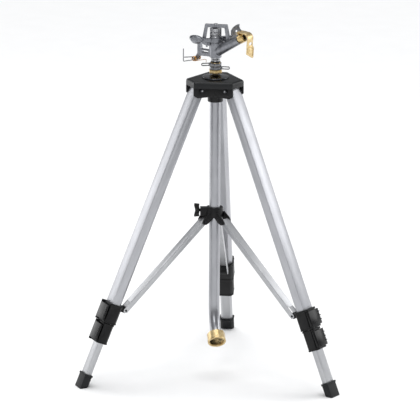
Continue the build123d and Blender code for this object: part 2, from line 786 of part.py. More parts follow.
with BuildPart() as nozzle:
    with BuildSketch(barrel_plane(nozzle_start)):
        Circle(nozzle_radius)
    extrude(amount=nozzle_length)
    fillet(nozzle.edges().filter_by(GeomType.CIRCLE).sort_by(Axis.X)[-1], radius=1.2)
    with BuildSketch(Plane.XZ):
        with Locations((hinge_place_x, hinge_place_z)):
            Circle(knuckle_radius)
        with Locations((hinge_place_x + barrel_dir[2] * 2.5, hinge_place_z - barrel_dir[0] * 2.5)):
            Rectangle(2 * knuckle_radius, 5, rotation=-nozzle_rise)
    extrude(amount=lug_width, both=True)
    with BuildSketch(Plane.XZ):
        with Locations((hinge_place_x, hinge_place_z)):
            Circle(flap_pin_radius)
    extrude(amount=lug_width + 1, both=True, mode=Mode.SUBTRACT)
    with BuildSketch(barrel_plane(nozzle_start)):
        Circle(water_radius)
    with BuildSketch(barrel_plane(nozzle_start + nozzle_length)):
        Circle(orifice_radius)
    loft(mode=Mode.SUBTRACT)
save_raised(nozzle.part, "nozzle")

flap_thick = 1.3
flap_half = 8.6
paddle_side = 12.6      # the paddle is wider than its strap on one side
flap_front = 72.8       # how far the hanging part stands from the hub's axis
flap_rise = 0.8
flap_bend = 9
paddle_top = 590
paddle_bottom = 577.6
paddle_tip = 567.2

with BuildPart() as deflector:
    with BuildSketch(Plane.XZ):
        with Locations((hinge_place_x, hinge_place_z)):
            Circle(knuckle_radius)
        with BuildLine():
            rise = Line((hinge_place_x, hinge_place_z + knuckle_radius - flap_thick / 2),
                        (flap_front - flap_bend, hinge_place_z + flap_rise))
            bend = JernArc(rise @ 1, rise % 1, flap_bend, -90 - 15)
            Line(bend @ 1, (flap_front - 3, paddle_tip))
            offset(amount=flap_thick / 2, side=Side.BOTH)
        make_face()
    extrude(amount=paddle_side, both=True)
    with BuildSketch(Plane.YZ.offset(hinge_place_x - 6)):
        with Locations((-flap_half - 5, paddle_top)):
            Rectangle(10, 80)
        Polygon((flap_half, paddle_top + 40), (flap_half, paddle_top), (flap_half + 4, paddle_top - 4),
                (20, paddle_top - 4), (20, paddle_top + 40), align=None)
        Polygon((-flap_half - 1, paddle_bottom), (paddle_side - 2.5, paddle_tip),
                (paddle_side + 1, paddle_tip + 3),
                (paddle_side + 1, paddle_tip - 9), (-flap_half - 1, paddle_tip - 9), align=None)
        with Locations((1.8, 594)):
            SlotOverall(8.6, 5.4)
    extrude(amount=60, mode=Mode.SUBTRACT)
    with BuildSketch(Plane.XZ):
        with Locations((hinge_place_x, hinge_place_z)):
            Circle(flap_pin_radius + running)
    extrude(amount=paddle_side + 1, both=True, mode=Mode.SUBTRACT)
    with BuildSketch(Plane.XZ):
        with Locations((hinge_place_x, hinge_place_z)):
            Rectangle(2 * knuckle_radius + 2.4, 2 * knuckle_radius + 1.2)
    extrude(amount=lug_width + gap, both=True, mode=Mode.SUBTRACT)
save_raised(deflector.part, "deflector")

with BuildPart() as deflector_pin:
    with BuildSketch(Plane.XZ):
        with Locations((hinge_place_x, hinge_place_z)):
            Circle(flap_pin_radius)
    extrude(amount=flap_half + 0.8, both=True)
save_raised(deflector_pin.part, "deflector_pin")

# ---------------------------------------------------------------- arm
arm_azimuth = 51
arm_hub_bottom = 588.3
arm_hub_top = 596.5
arm_hub_radius = 10.3
arm_half = 3.3
dish_radius = 12
dish_reach = 34.5
vane_front = 64.2

with BuildPart() as fulcrum_pin:
    with BuildSketch(Plane.XY.offset(body_top - 6)):
        Circle(pin_radius)
    extrude(amount=bridge_top - body_top + 6)
    with BuildSketch(Plane.XY.offset(bridge_top)):
        Circle(4.2)
    extrude(amount=1.4, taper=35)
save_raised(fulcrum_pin.part, "fulcrum_pin")

arm_side = radial_plane(arm_azimuth)
dish_normal = arm_side.x_dir * 0.10 + arm_side.z_dir * 0.27 + Vector(0, 0, 0.96)
dish_centre = arm_side.from_local_coords((-dish_reach, 594.8, 0))


def around(radius, azimuth):
    return (radius * cos(radians(azimuth)), radius * sin(radians(azimuth)))


with BuildPart() as impact_arm:
    with BuildSketch(Plane.XY.offset(arm_hub_bottom)):
        Circle(arm_hub_radius)
    extrude(amount=arm_hub_top - arm_hub_bottom)
    with BuildSketch(arm_side):
        Polygon((-dish_reach + 4, 590.6), (-12, arm_hub_bottom), (0, arm_hub_bottom),
                (30, arm_hub_bottom), (30, 597.5), (11.5, 597.5), (10.8, arm_hub_top),
                (0, arm_hub_top), (-8, 595), (-dish_reach + 4, 595), align=None)
    extrude(amount=arm_half, both=True)
    with BuildSketch(arm_side.offset(arm_half)):
        with Locations((14.8, 593.6)):
            Rectangle(6, 6)
    extrude(amount=-4.6, mode=Mode.SUBTRACT)
    with BuildSketch(arm_side):
        Polygon((27.3, 590), (27.3, 606), (31.5, 611.5), (37, 615.5), (42.6, 617.3), (42.2, 613), (43.6, 609),
                (47, 605), (47, 599), (36, 590), align=None)
        with Locations((37.1, 604.8)):
            Rectangle(3.4, 3.8, mode=Mode.SUBTRACT)
    extrude(amount=-arm_half)
    with BuildSketch(arm_side):
        Polygon((-19, arm_hub_bottom + 2), (-14.5, arm_hub_bottom + 2), (-14.5, 580), (-17, 580), align=None)
    extrude(amount=1.6, both=True)
    with BuildSketch(Plane(origin=dish_centre, z_dir=dish_normal)):
        Circle(dish_radius)
    extrude(amount=2.2)
    with BuildSketch(Plane(origin=dish_centre, z_dir=dish_normal)):
        Circle(dish_radius)
    extrude(amount=-5.4, taper=40)
    with BuildSketch(Plane(origin=dish_centre, z_dir=dish_normal)):
        Circle(dish_radius - 1.8)
    extrude(amount=2.3, mode=Mode.SUBTRACT)
    with BuildSketch(Plane.XY.offset(600.5)):
        with BuildLine():
            ThreePointArc(around(46, arm_azimuth + 3), around(60, 27), (vane_front + 2, 1.2))
            offset(amount=1.5, side=Side.BOTH)
        make_face()
    extrude(amount=5)
    with BuildSketch(Plane.XZ):
        Polygon((vane_front, 605.5), (vane_front + 6.3, 602), (vane_front + 6.3, 598.6), (vane_front, 600.5),
                align=None)
    extrude(amount=1.5, both=True)
    with BuildSketch(Plane.XY.offset(570)):
        Circle(pin_radius + running)
    extrude(amount=50, mode=Mode.SUBTRACT)
save_raised(impact_arm.part, "impact_arm")

with BuildPart() as arm_spring:
    coil_bottom = arm_hub_top + 0.1
    coil_top = bridge_top - bar_height - 1.4
    with BuildSketch(Plane.XY.offset(coil_bottom)):
        Circle(10.3)
        Circle(8.1, mode=Mode.SUBTRACT)
    extrude(amount=coil_top - coil_bottom)
    turns = 6
    for turn in range(1, turns):
        with BuildSketch(Plane.XY.offset(coil_bottom + turn * (coil_top - coil_bottom) / turns)):
            Circle(11)
            Circle(9.4, mode=Mode.SUBTRACT)
        extrude(amount=0.4, both=True, mode=Mode.SUBTRACT)
save_raised(arm_spring.part, "arm_spring")

# ---------------------------------------------------------------- trip mechanism
with BuildPart() as trip_pin:
    with BuildSketch(Plane.XZ):
        with Locations(trip_pin_place):
            Circle(trip_pin_radius)
    extrude(amount=9.4, both=True)
save_raised(trip_pin.part, "trip_pin")

trip_x, trip_z = trip_pin_place
trip_wire = 0.95
trip_reach = 68.4
trip_low = 544
trip_high = 567.6
with BuildPart() as trip_lever:
    with BuildSketch(Plane.XZ):
        with Locations(trip_pin_place):
            Circle(2.8)
            Circle(trip_pin_radius + running, mode=Mode.SUBTRACT)
        Polygon((trip_x, trip_z + 2.7), (trip_x - 3.5, trip_z + 2.5), (1 - trip_reach, trip_z - 1.5),
                (1 - trip_reach, trip_high), (-trip_reach - 0.9, trip_high), (-trip_reach - 0.9, trip_low),
                (trip_x - 3.5, trip_z - 4.8), (trip_x, trip_z - 2.7), (trip_x - 2, trip_z - 1.6),
                (trip_x - 3.5, trip_z - 2.8), (1 - trip_reach, trip_low + 2.2),
                (1 - trip_reach, trip_z - 3.5),
                (trip_x - 2.2, trip_z + 0.6), align=None)
    extrude(amount=trip_wire, both=True)
save_raised(trip_lever.part, "trip_lever")

coil_start = ear_middle + ear_wall / 2 + 0.2
coil_length = 5
coil_radius = 4.3
with BuildPart() as trip_spring:
    for start in (-coil_start - coil_length, coil_start):
        with BuildSketch(Plane.XZ.offset(start)):
            with Locations(trip_pin_place):
                Circle(coil_radius)
                Circle(trip_pin_radius + 0.1, mode=Mode.SUBTRACT)
        extrude(amount=coil_length)
    with BuildSketch(Plane.XZ.offset(coil_start + coil_length - 1.4)):
        Polygon((trip_x, trip_z - 3), (-15, 557.2), (-13.6, 556.8), (-13.6, 551.6), (-15, 551.6),
                (-15.1, 555.8),
                (trip_x, trip_z - 4.3), align=None)
    extrude(amount=1.4)
    with BuildSketch(Plane.XZ.offset(-coil_start - 1)):
        Polygon((trip_x + 0.4, trip_z - 3.3), (trip_x + 1.8, trip_z - 3.1), (trip_x + 1.6, trip_z - 4.7),
                (trip_x + 0.4, trip_z - 4.9), align=None)
    extrude(amount=2 * coil_start + 2)
save_raised(trip_spring.part, "trip_spring")
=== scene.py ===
# %% [markdown]
# # Impact sprinkler on a folding tripod
# A brass-nozzled sprinkler head stands on a moulded hub, and three telescopic legs hold the hub up.
# The CAD frame already says where everything is and how it moves, so this file only gives it its looks:
# rounded edges, real coils and wires, castings with soft corners, and a material for each finish.
# Everything is in metres, with the floor at z = 0 and the water pipe on the z axis.

# %% Load the frame
import json
import math
import bmesh
import bpy
from mathutils import Matrix, Vector


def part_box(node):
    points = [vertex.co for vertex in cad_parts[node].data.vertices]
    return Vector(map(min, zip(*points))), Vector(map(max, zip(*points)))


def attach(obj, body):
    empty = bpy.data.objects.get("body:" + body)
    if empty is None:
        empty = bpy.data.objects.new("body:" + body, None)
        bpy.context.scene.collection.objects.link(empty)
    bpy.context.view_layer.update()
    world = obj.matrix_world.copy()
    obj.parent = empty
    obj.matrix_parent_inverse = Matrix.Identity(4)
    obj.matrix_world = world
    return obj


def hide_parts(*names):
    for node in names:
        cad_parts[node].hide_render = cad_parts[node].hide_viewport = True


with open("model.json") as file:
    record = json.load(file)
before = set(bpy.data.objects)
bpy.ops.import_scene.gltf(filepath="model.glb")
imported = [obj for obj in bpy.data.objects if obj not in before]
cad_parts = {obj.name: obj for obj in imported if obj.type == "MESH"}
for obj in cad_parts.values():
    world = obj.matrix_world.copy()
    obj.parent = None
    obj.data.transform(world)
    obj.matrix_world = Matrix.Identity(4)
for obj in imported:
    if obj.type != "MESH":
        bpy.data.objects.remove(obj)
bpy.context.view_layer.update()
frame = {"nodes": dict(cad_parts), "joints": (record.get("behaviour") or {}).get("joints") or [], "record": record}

mm = 0.001
joints = {joint["name"]: joint for joint in frame["joints"]}
body_of = {node: body for body, nodes in frame["record"]["behaviour"]["bodies"].items() for node in nodes}

# %% [markdown]
# ## Tools for materials
# A material is a small graph of nodes. One function adds a node with its options and its links, and
# another turns the hex colours into the linear values that light is summed in.

# %% Material helpers
def linear(hex_colour):
    """An sRGB hex colour as linear red, green, blue and alpha."""
    channels = [int(hex_colour[i:i + 2], 16) / 255 for i in (1, 3, 5)]
    return [c / 12.92 if c <= 0.04045 else ((c + 0.055) / 1.055) ** 2.4 for c in channels] + [1]


def add(material, kind, sockets, **options):
    """Adds a node: options are its own settings, sockets its inputs, each a value or another's output."""
    tree = material.node_tree
    node = tree.nodes.new(kind)
    for name, value in options.items():
        setattr(node, name, value)
    for name, value in sockets.items():
        if isinstance(value, bpy.types.NodeSocket):
            tree.links.new(value, node.inputs[name])
        else:
            node.inputs[name].default_value = value
    return node


def blank(name):
    """A new material with an empty graph."""
    material = bpy.data.materials.new(name)
    material.use_nodes = True
    material.node_tree.nodes.clear()
    return material


def finish(material, **sockets):
    """Ends a material with the shader that lights it."""
    named = {name.replace("_", " "): value for name, value in sockets.items()}
    shader = add(material, "ShaderNodeBsdfPrincipled", named)
    add(material, "ShaderNodeOutputMaterial", {"Surface": shader.outputs["BSDF"]})
    return material


print("helpers ready; mid grey is", round(linear("#808080")[0], 3), "in linear light")

# %% [markdown]
# ## Patterns shared by several finishes
# Moulded and cast skins are not perfectly even. A noise of a known size in millimetres gives the
# grain, and a second, broader one gives the slow change of tone that the eye reads as real material.

# %% Pattern helpers
def pattern(material, size, turn=(0, 0, 0), detail=3):
    """Noise whose grain is size in millimetres along x, y and z, after turning it with the piece."""
    place = add(material, "ShaderNodeTexCoord", {})
    grid = add(material, "ShaderNodeMapping",
               {"Vector": place.outputs["Object"], "Rotation": turn, "Scale": [s * mm for s in size]},
               vector_type="TEXTURE")
    noise = add(material, "ShaderNodeTexNoise", {"Vector": grid.outputs[0], "Scale": 1.0, "Detail": detail})
    return noise.outputs["Fac"]


def spread(material, value, low, high):
    """Maps the middle of a noise on to the range from low to high."""
    ramp = add(material, "ShaderNodeMapRange",
               {"Value": value, "From Min": 0.3, "From Max": 0.7, "To Min": low, "To Max": high})
    return ramp.outputs["Result"]


def two_tone(material, value, dark, light):
    """A colour that goes from dark to light with a noise."""
    ramp = add(material, "ShaderNodeValToRGB", {"Fac": value})
    ramp.color_ramp.elements[0].position = 0.3
    ramp.color_ramp.elements[0].color = linear(dark)
    ramp.color_ramp.elements[1].position = 0.7
    ramp.color_ramp.elements[1].color = linear(light)
    return ramp.outputs["Color"]


def bump(material, height, depth):
    """Relief whose highest and lowest points are depth millimetres apart."""
    relief = add(material, "ShaderNodeBump", {"Height": height, "Strength": 1.0, "Distance": depth * mm})
    return relief.outputs["Normal"]


print("patterns are measured in millimetres; one is", mm, "metres")

# %% [markdown]
# ## Anodised aluminium
# The legs are extruded, so die lines run along them, and anodising leaves a pale satin skin. The
# grain is stretched forty times along the tube and turned with it. Real die lines are finer than can
# be seen at arm's length, so they are drawn about twice as coarse.

# %% Aluminium
def aluminium(name, turn, dark="#aeafb3", light="#babbbf", roughness=(0.36, 0.46)):
    material = blank(name)
    lines = pattern(material, (0.5, 0.5, 22), turn)
    clouds = pattern(material, (14, 14, 60), turn)
    return finish(material, Base_Color=two_tone(material, clouds, dark, light), Metallic=1.0,
                  Roughness=spread(material, lines, *roughness), Normal=bump(material, lines, 0.012))


def tilt_of(joint_name):
    """Rotation that turns the z axis on to a joint's axis, for a grain that runs along a piece."""
    return Vector((0, 0, 1)).rotation_difference(Vector(joints[joint_name]["axis"])).to_euler()


sides = ("front", "left", "right")
leg_metal = {side: aluminium(f"anodised_aluminium_{side}_leg", tilt_of(f"{side}_upper_extension"))
             for side in sides}
inner_metal = {side: aluminium(f"drawn_aluminium_{side}_leg", tilt_of(f"{side}_upper_extension"),
                               "#b4b5b8", "#c2c3c5", (0.34, 0.44)) for side in sides}
pipe_metal = aluminium("drawn_aluminium_pipe", (0, 0, 0), "#9c9da1", "#acadb1", (0.28, 0.38))
print("aluminium in", len(leg_metal) + len(inner_metal) + 1, "directions")

# %% [markdown]
# ## Moulded plastics
# The hub, the clamps and the collar are glass-filled nylon from a spark-eroded mould: near black, with
# a leathery grain of about 0.4 mm that breaks up the highlights. The cap is smoother ABS and the feet
# are softer, greyer PVC.

# %% Plastics
def plastic(name, dark, light, roughness, grain, depth):
    material = blank(name)
    skin = pattern(material, (grain, grain, grain))
    clouds = pattern(material, (18, 18, 18))
    return finish(material, Base_Color=two_tone(material, clouds, dark, light), Specular_IOR_Level=0.3,
                  Roughness=spread(material, clouds, *roughness), Normal=bump(material, skin, depth))


black_nylon = plastic("moulded_black_nylon", "#060607", "#0b0b0d", (0.40, 0.52), 0.45, 0.03)
black_abs = plastic("moulded_black_abs", "#0d0e10", "#141619", (0.34, 0.44), 0.4, 0.015)
gloss_nylon = plastic("moulded_gloss_nylon", "#060607", "#0a0a0b", (0.24, 0.34), 0.6, 0.01)
grey_pvc = plastic("moulded_grey_pvc", "#17181a", "#222326", (0.5, 0.65), 0.6, 0.04)
epdm_rubber = plastic("moulded_epdm_rubber", "#0a0a0b", "#131314", (0.6, 0.8), 0.5, 0.03)
print(len(bpy.data.materials), "materials with the plastics")

# %% [markdown]
# ## Cast and turned metals
# The sprinkler body and its arm are die-cast zinc: grey, a little cloudy, with a fine pebbled skin.
# Turned brass is smooth with faint rings. Spring wire and pins are drawn steel, bright and even.

# %% Metals
def metal(name, dark, light, roughness, cloud, grain, depth):
    material = blank(name)
    clouds = pattern(material, (cloud, cloud, cloud))
    skin = pattern(material, grain)
    return finish(material, Base_Color=two_tone(material, clouds, dark, light), Metallic=1.0,
                  Roughness=spread(material, clouds, *roughness), Normal=bump(material, skin, depth))


cast_zinc = metal("die_cast_zinc", "#7a7c81", "#999ba0", (0.32, 0.46), 5, (0.7, 0.7, 0.7), 0.05)
turned_brass = metal("turned_brass", "#c2a56a", "#dcc595", (0.24, 0.38), 4, (1.5, 1.5, 0.25), 0.01)
cast_brass = metal("stamped_brass", "#c8ad78", "#dfcba0", (0.3, 0.44), 6, (0.8, 0.8, 0.8), 0.02)
spring_steel = metal("drawn_spring_steel", "#626366", "#858689", (0.22, 0.34), 3, (0.3, 0.3, 2), 0.005)
bright_steel = metal("bright_spring_steel", "#a5a6a9", "#bdbec1", (0.2, 0.32), 3, (0.3, 0.3, 2), 0.005)
dark_steel = metal("blackened_steel", "#2b2c2e", "#3a3b3e", (0.3, 0.42), 3, (0.5, 0.5, 0.5), 0.01)
copper_wire = metal("bronze_spring_wire", "#a97a46", "#c79a62", (0.24, 0.36), 3, (0.4, 0.4, 0.4), 0.005)
zinc_plate = metal("zinc_plated_steel", "#8c8d90", "#a9aaad", (0.25, 0.4), 3, (0.5, 0.5, 0.5), 0.01)
black_nickel = metal("polished_black_nickel", "#55575b", "#67696d", (0.2, 0.28), 12, (0.6, 0.6, 0.6), 0.004)
print(len(bpy.data.materials), "materials so far")

# %% [markdown]
# ## Tools for shapes
# CAD edges are perfectly sharp, which nothing moulded, sawn or cast is. A merged copy of a CAD mesh
# can be bevelled by a few tenths of a millimetre, and those small rounds catch the light. Wires and
# coils are swept along a curve instead, and castings go through a fine voxel remesh that rounds
# inside and outside corners alike.

# %% Shape helpers
def finished(name, shape, material, body, nodes=(), crease=35):
    """Turns a bmesh into an object that rides on a body and stands for CAD nodes."""
    mesh = bpy.data.meshes.new(name)
    shape.to_mesh(mesh)
    shape.free()
    mesh.materials.append(material)
    mesh.shade_smooth()
    mesh.set_sharp_from_angle(angle=math.radians(crease))
    item = bpy.data.objects.new(name, mesh)
    bpy.context.scene.collection.objects.link(item)
    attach(item, body)
    if nodes:
        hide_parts(*nodes)
    print(f"{name}: {len(mesh.polygons)} faces on {body}")
    return item


def cad_copy(node):
    """A merged copy of a CAD node's mesh, with each flat face in one piece again."""
    shape = bmesh.new()
    shape.from_mesh(frame["nodes"][node].data)
    bmesh.ops.remove_doubles(shape, verts=shape.verts, dist=0.002 * mm)
    bmesh.ops.dissolve_limit(shape, angle_limit=math.radians(0.6), verts=shape.verts, edges=shape.edges)
    return shape


def soften(shape, width, steps=2, angle=32):
    """Rounds every edge that turns by more than angle."""
    sharp = [edge for edge in shape.edges
             if edge.is_manifold and edge.calc_face_angle() > math.radians(angle)]
    bmesh.ops.bevel(shape, geom=sharp, offset=width * mm, offset_type="OFFSET", segments=steps,
                    profile=0.5, affect="EDGES", clamp_overlap=False, material=-1)
    return shape


def softened(node, name, material, width, steps=2):
    """A CAD node again, with rounded edges."""
    return finished(name, soften(cad_copy(node), width, steps), material, body_of[node], [node])


def wire(points, radius, closed=False, smooth=False):
    """A round wire swept along points, as a bmesh."""
    curve = bpy.data.curves.new("wire", "CURVE")
    curve.dimensions = "3D"
    curve.bevel_depth = radius
    curve.bevel_resolution = 3
    curve.use_fill_caps = True
    run = curve.splines.new("NURBS" if smooth else "POLY")
    run.points.add(len(points) - 1)
    for spot, point in zip(run.points, points):
        spot.co = (*point, 1)
    run.use_cyclic_u = closed
    if smooth:
        run.order_u = 3
        run.use_endpoint_u = not closed
        run.resolution_u = 6
    holder = bpy.data.objects.new("wire", curve)
    bpy.context.scene.collection.objects.link(holder)
    mesh = bpy.data.meshes.new_from_object(holder.evaluated_get(bpy.context.evaluated_depsgraph_get()))
    shape = bmesh.new()
    shape.from_mesh(mesh)
    bpy.data.objects.remove(holder)
    bpy.data.curves.remove(curve)
    bpy.data.meshes.remove(mesh)
    return shape


def joined(*shapes):
    """Several bmeshes as one."""
    whole = bmesh.new()
    for shape in shapes:
        mesh = bpy.data.meshes.new("part")
        shape.to_mesh(mesh)
        whole.from_mesh(mesh)
        shape.free()
        bpy.data.meshes.remove(mesh)
    return whole


def turned(profile, place, steps=48):
    """A lathe shape: a closed profile of radius and height, spun round the z axis of a place."""
    shape = bmesh.new()
    corners = [shape.verts.new((r, 0, z)) for r, z in profile]
    edges = [shape.edges.new(pair) for pair in zip(corners, corners[1:] + corners[:1])]
    bmesh.ops.spin(shape, geom=corners + edges, cent=(0, 0, 0), axis=(0, 0, 1), angle=math.tau,
                   steps=steps, use_merge=True, use_duplicate=False)
    bmesh.ops.remove_doubles(shape, verts=shape.verts, dist=0.001 * mm)
    bmesh.ops.recalc_face_normals(shape, faces=shape.faces)
    bmesh.ops.transform(shape, matrix=place, verts=shape.verts)
    return shape


def basis(origin, z, x):
    """A place whose z runs along z and whose x is as near x as it can be."""
    z = Vector(z).normalized()
    y = z.cross(Vector(x)).normalized()
    turn = Matrix((y.cross(z), y, z)).transposed().to_4x4()
    turn.translation = Vector(origin)
    return turn


def casting(item, voxel, passes=4):
    """Rounds a piece inside and out, as metal that filled a mould."""
    remesh = item.modifiers.new("skin", "REMESH")
    remesh.mode = "VOXEL"
    remesh.voxel_size = voxel * mm
    remesh.use_smooth_shade = True
    relax = item.modifiers.new("soften", "SMOOTH")
    relax.factor = 0.5
    relax.iterations = passes
    return item


# %% [markdown]
# ## Leg tubes
# Each leg is three nested tubes with a square back and two chamfered inner corners. They could be
# drawn again from their outline, but the CAD tubes already have the right walls and holes, so they
# only get the corner radius of half a millimetre that an extrusion die leaves. It draws the bright
# line down each edge.

# %% Leg tubes
for side in sides:
    softened(f"{side}_upper_tube", f"{side}_outer_extrusion", leg_metal[side], 0.6)
    softened(f"{side}_middle_tube", f"{side}_second_extrusion", inner_metal[side], 0.5)
    softened(f"{side}_lower_tube", f"{side}_inner_extrusion", inner_metal[side], 0.5)
    softened(f"{side}_leg_knuckle", f"{side}_knuckle_plug", black_nylon, 0.3)

# %% [markdown]
# ## Clamps, levers and feet
# The clamps are stout mouldings, so their corners are rounder than the tubes'. A moulded rim stiffens
# the mouth of each clamp and foot. The rims are rings of their own: an outline of the tube with two
# chamfered corners, once larger and once smaller, bridged and drawn a few millimetres along the leg.

# %% Clamps, levers and feet
for side in sides:
    softened(f"{side}_upper_clamp", f"{side}_upper_clamp_moulding", black_nylon, 0.6)
    softened(f"{side}_lower_clamp", f"{side}_lower_clamp_moulding", black_nylon, 0.6)
    softened(f"{side}_upper_lever", f"{side}_upper_lever_moulding", gloss_nylon, 0.5)
    softened(f"{side}_lower_lever", f"{side}_lower_lever_moulding", gloss_nylon, 0.5)
    softened(f"{side}_foot", f"{side}_foot_cap", grey_pvc, 1.0, 3)

# %% [markdown]
# The rims' sections and stations are in millimetres: half the width, the depth from the middle to the
# inner face and the chamfer, then the distance down the leg from its pivot. They follow the clamps.

# %% Rims on clamps and feet
def leg_place(side):
    """A place at a leg's pivot: x across the leg, y towards the pipe, z up the leg."""
    along = Vector(joints[f"{side}_upper_extension"]["axis"])
    if along.z < 0:
        along.negate()
    pivot = Vector(joints[f"{side}_leg_fold"]["pos_m"])
    return basis(pivot, along, Vector(joints[f"{side}_leg_fold"]["axis"]))


def section(half, inside, corner):
    """The outline of a leg tube, in metres: square outside corners and chamfered inside ones."""
    outline = ((-half, -inside), (half, -inside), (half, inside - corner), (half - corner, inside),
               (corner - half, inside), (-half, inside - corner))
    return [(x * mm, y * mm) for x, y in outline]


def rim(outer, inner, top, end, place):
    """A ring between two sections, from one station down the leg to another."""
    shape = bmesh.new()
    for outline in (outer, inner):
        corners = [shape.verts.new((x, y, -end * mm)) for x, y in outline]
        for pair in zip(corners, corners[1:] + corners[:1]):
            shape.edges.new(pair)
    bmesh.ops.bridge_loops(shape, edges=shape.edges[:])
    raised = bmesh.ops.extrude_face_region(shape, geom=shape.faces[:])
    tops = [item for item in raised["geom"] if isinstance(item, bmesh.types.BMVert)]
    bmesh.ops.translate(shape, verts=tops, vec=(0, 0, (end - top) * mm))
    bmesh.ops.recalc_face_normals(shape, faces=shape.faces)
    soften(shape, 0.35)
    bmesh.ops.transform(shape, matrix=place, verts=shape.verts)
    return shape


rims = (("upper_clamp_mouth", "leg", section(16.3, 12.8, 5), section(13.9, 9.5, 4.9), 398.3, 401.5),
        ("upper_clamp_skirt", "leg", section(16.0, 12.5, 5), section(13.9, 9.5, 4.9), 430.2, 432.4),
        ("lower_clamp_mouth", "middle", section(14.8, 11.0, 4.6), section(12.2, 7.8, 4.1), 433.5, 436.3),
        ("lower_clamp_skirt", "middle", section(14.5, 10.7, 4.6), section(12.2, 7.8, 4.1), 467.4, 469.8),
        ("foot_mouth", "shin", section(12.8, 8.5, 3.9), section(10.4, 6.0, 3.0), 529.1, 532.4))
for side in sides:
    for name, limb, outer, inner, top, end in rims:
        paint = grey_pvc if limb == "shin" else black_nylon
        finished(f"{side}_{name}", rim(outer, inner, top, end, leg_place(side)), paint,
                         f"{side}_{limb}")

# %% [markdown]
# ## Braces and spreader
# The braces are folded from thin sheet, which leaves a small outside radius. They turn on rivets
# between the cheeks of a moulded collar that slides on the pipe, and a wing knob locks the collar.
# The rivets keep the CAD's size; their heads are only rounded, as a closed rivet's are.

# %% Braces and spreader
for side in sides:
    softened(f"{side}_brace", f"{side}_folded_channel", inner_metal[side], 0.35)
softened("spreader_collar", "spreader_collar_moulding", black_nylon, 0.6)
softened("collar_pins", "collar_rivets", dark_steel, 0.4)
softened("wing_knob", "wing_knob_moulding", gloss_nylon, 0.7, 3)

# %% [markdown]
# ## Hub
# The hub is a ribbed black moulding under a smoother cap whose edges are generously rounded. Each leg
# turns on a blackened screw with a bright rivet point in the middle of its head. The points are turned
# domes set on the same axis, half a millimetre proud.

# %% Hub
softened("hub_body", "hub_moulding", black_nylon, 0.6)
softened("hub_cap", "hub_cap_moulding", black_abs, 0.5, 3)
softened("pivot_bolts", "pivot_screws", dark_steel, 0.7, 3)

# %% [markdown]
# A rivet's point is turned from a five-point profile, and each leg has one on either side of the hub.

# %% Rivet points
for side in sides:
    pivot = Vector(joints[f"{side}_leg_fold"]["pos_m"])
    across = Vector(joints[f"{side}_leg_fold"]["axis"])
    points = []
    for way in (1, -1):
        profile = ((0, 0), (1.7, 0), (1.6, 0.35), (1.1, 0.55), (0, 0.65))
        place = basis(pivot + across * way * 19.2 * mm, across * way, (0, 0, 1))
        points.append(turned([(r * mm, z * mm) for r, z in profile], place, 24))
    finished(f"{side}_rivet_points", joined(*points), zinc_plate, "hub")

# %% [markdown]
# ## Disc and riser
# A polished, nearly black disc is spun up into a neck, and the brass riser's hexagon sits on it. Above
# the hexagon the riser is round, and the sprinkler turns on it.

# %% Disc and riser
softened("hub_disc", "hub_disc_turning", black_nickel, 0.3)
softened("riser_nipple", "riser_nipple_turning", turned_brass, 0.4)
softened("thrust_washer", "thrust_washer_ring", epdm_rubber, 0.2)
softened("bearing_sleeve", "bearing_sleeve_turning", turned_brass, 0.2)

# %% [markdown]
# ## Water pipe
# The pipe hangs straight down and bends forward at the bottom. A bevelled CAD mesh would show its
# facets on the bend, so it is made as a pipe bender makes it: a ring of wall is drawn down, turned
# about the bend's centre in small steps, and drawn on for the short straight end.

# %% Water pipe
bend_azimuth = math.radians(-46)
bend_start = 122 * mm
bend_radius = 64 * mm
bend_angle = math.radians(50)
bend_steps = 20
straight_end = 5 * mm
pipe_outside = 9.525 * mm
pipe_inside = 8.275 * mm
forward = Vector((math.cos(bend_azimuth), math.sin(bend_azimuth), 0))
pipe_low, pipe_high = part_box("water_pipe")

pipe = bmesh.new()
for radius in (pipe_outside, pipe_inside):
    bmesh.ops.create_circle(pipe, segments=72, radius=radius)
bmesh.ops.bridge_loops(pipe, edges=pipe.edges[:])
bmesh.ops.translate(pipe, verts=pipe.verts, vec=(0, 0, pipe_high.z))


def drawn_on(shape, faces, move):
    """Extrudes faces by move and gives the new ones."""
    result = bmesh.ops.extrude_face_region(shape, geom=faces)["geom"]
    bmesh.ops.translate(shape, verts=[item for item in result if isinstance(item, bmesh.types.BMVert)],
                        vec=move)
    return [item for item in result if isinstance(item, bmesh.types.BMFace)]


end_faces = drawn_on(pipe, pipe.faces[:], (0, 0, bend_start - pipe_high.z))
for turn in range(bend_steps):
    result = bmesh.ops.extrude_face_region(pipe, geom=end_faces)["geom"]
    end_faces = [item for item in result if isinstance(item, bmesh.types.BMFace)]
    bmesh.ops.rotate(pipe, verts=[item for item in result if isinstance(item, bmesh.types.BMVert)],
                     cent=forward * bend_radius + Vector((0, 0, bend_start)),
                     matrix=Matrix.Rotation(bend_angle / bend_steps, 3, forward.cross((0, 0, 1))))
outward = forward * math.sin(bend_angle) - Vector((0, 0, math.cos(bend_angle)))
drawn_on(pipe, end_faces, outward * straight_end)
bmesh.ops.recalc_face_normals(pipe, faces=pipe.faces)
finished("water_pipe_bend", pipe, pipe_metal, "hub", ["water_pipe"])
print("pipe from", pipe_high.z, "down to", pipe_low.z)

# %% [markdown]
# ## Hose inlet
# The swivel nut is turned brass with eight flats. Its thread is a single helix of ridge wound inside
# the wall, and behind it sit a rubber washer and a strainer of woven wire. The real strainer has about
# a hundred openings; it is drawn with fewer and coarser wires.

# %% Hose inlet
softened("hose_tail", "hose_tail_turning", turned_brass, 0.2)
softened("swivel_nut", "swivel_nut_turning", cast_brass, 0.5, 3)
softened("inlet_washer", "inlet_washer_ring", epdm_rubber, 0.4)

